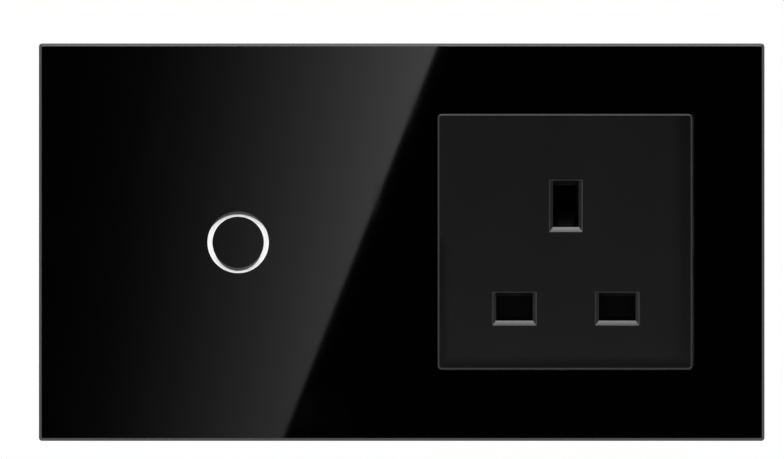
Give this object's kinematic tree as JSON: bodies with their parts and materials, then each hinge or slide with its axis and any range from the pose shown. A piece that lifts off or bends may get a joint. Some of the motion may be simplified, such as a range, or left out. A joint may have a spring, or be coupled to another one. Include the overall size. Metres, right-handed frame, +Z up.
{
  "type": "touch switch and socket",
  "caption": "Black glass wall plate with a backlit touch ring for a light on the left and a shuttered flat-pin socket outlet in a dark square insert on the right.",
  "frame": {"origin": "centre of the mounting plate's back face, on the wall plane", "axes": "+X right as seen from the front, +Z up, -Y out of the wall towards the user, +Y into the wall box"},
  "size_m": [0.157, 0.0355, 0.086],
  "materials": {
    "black_glass": "toughened glass, back-printed black, polished",
    "white_ink": "white filling in an engraved groove, satin",
    "tape": "double-sided foam tape",
    "black_plastic": "moulded, lightly textured",
    "plated_steel": "zinc plated sheet",
    "spring_steel": "bright spring steel",
    "dark_plastic": "very dark grey moulding, fine matt texture",
    "shutter_plastic": "black moulding, satin",
    "grey_plastic": "mid grey moulding",
    "bronze": "rolled phosphor bronze strip",
    "brass": "machined brass",
    "screw_steel": "zinc plated steel",
    "base_plastic": "light grey flame-resistant moulding",
    "circuit_board": "green solder resist over glass laminate",
    "chip_plastic": "black moulding compound",
    "lamp": "small lamp package with a clear window",
    "clear_plastic": "clear moulded light guide",
    "black_rubber": "soft moulded rubber",
    "relay_plastic": "blue moulded case",
    "film_plastic": "yellow dipped case",
    "can_aluminium": "sleeved aluminium can",
    "wrapped_coil": "taped winding round a dark core",
    "terminal_plastic": "green terminal moulding"
  },
  "bodies": {
    "frame": {"mounting_plate": "plated_steel", "retaining_clips": "spring_steel", "socket_face": "dark_plastic", "shutter_frame": "dark_plastic", "shutter_spring": "spring_steel", "contact_cover": "grey_plastic", "live_contact": "bronze", "neutral_contact": "bronze", "earth_contact": "bronze", "live_terminal": "brass", "neutral_terminal": "brass", "earth_terminal": "brass", "terminal_screws": "screw_steel", "socket_base": "base_plastic", "socket_screws": "screw_steel", "sensor_tray": "grey_plastic", "sensor_board": "circuit_board", "touch_controller": "chip_plastic", "status_leds": "lamp", "light_guide": "clear_plastic", "light_shield": "black_rubber", "touch_pad": "black_rubber", "board_header": "chip_plastic", "power_board": "circuit_board", "relay": "relay_plastic", "film_capacitor": "film_plastic", "round_capacitor": "can_aluminium", "supply_transformer": "wrapped_coil", "varistor": "film_plastic", "fuse": "chip_plastic", "terminal_housing": "terminal_plastic", "switch_terminals": "brass", "switch_terminal_screws": "screw_steel", "switch_base": "base_plastic"},
    "front_panel": {"glass_panel": "black_glass", "touch_ring": "white_ink", "adhesive_tape": "tape", "panel_carrier": "black_plastic", "rim_rails": "black_plastic"},
    "shutter": {"shutter": "shutter_plastic"}
  },
  "joints": [
    {"name": "shutter_slide", "type": "slide", "parent": "frame", "child": "shutter", "axis": [0, 0, -1], "range_m": [0, 0.0058], "stiffness_N_per_m": 250, "springref_m": -0.004, "deforming": ["shutter_spring"]},
    {"name": "panel_pull", "type": "slide", "parent": "frame", "child": "front_panel", "axis": [0, -1, 0], "range_m": [0, 0.03]}
  ]
}
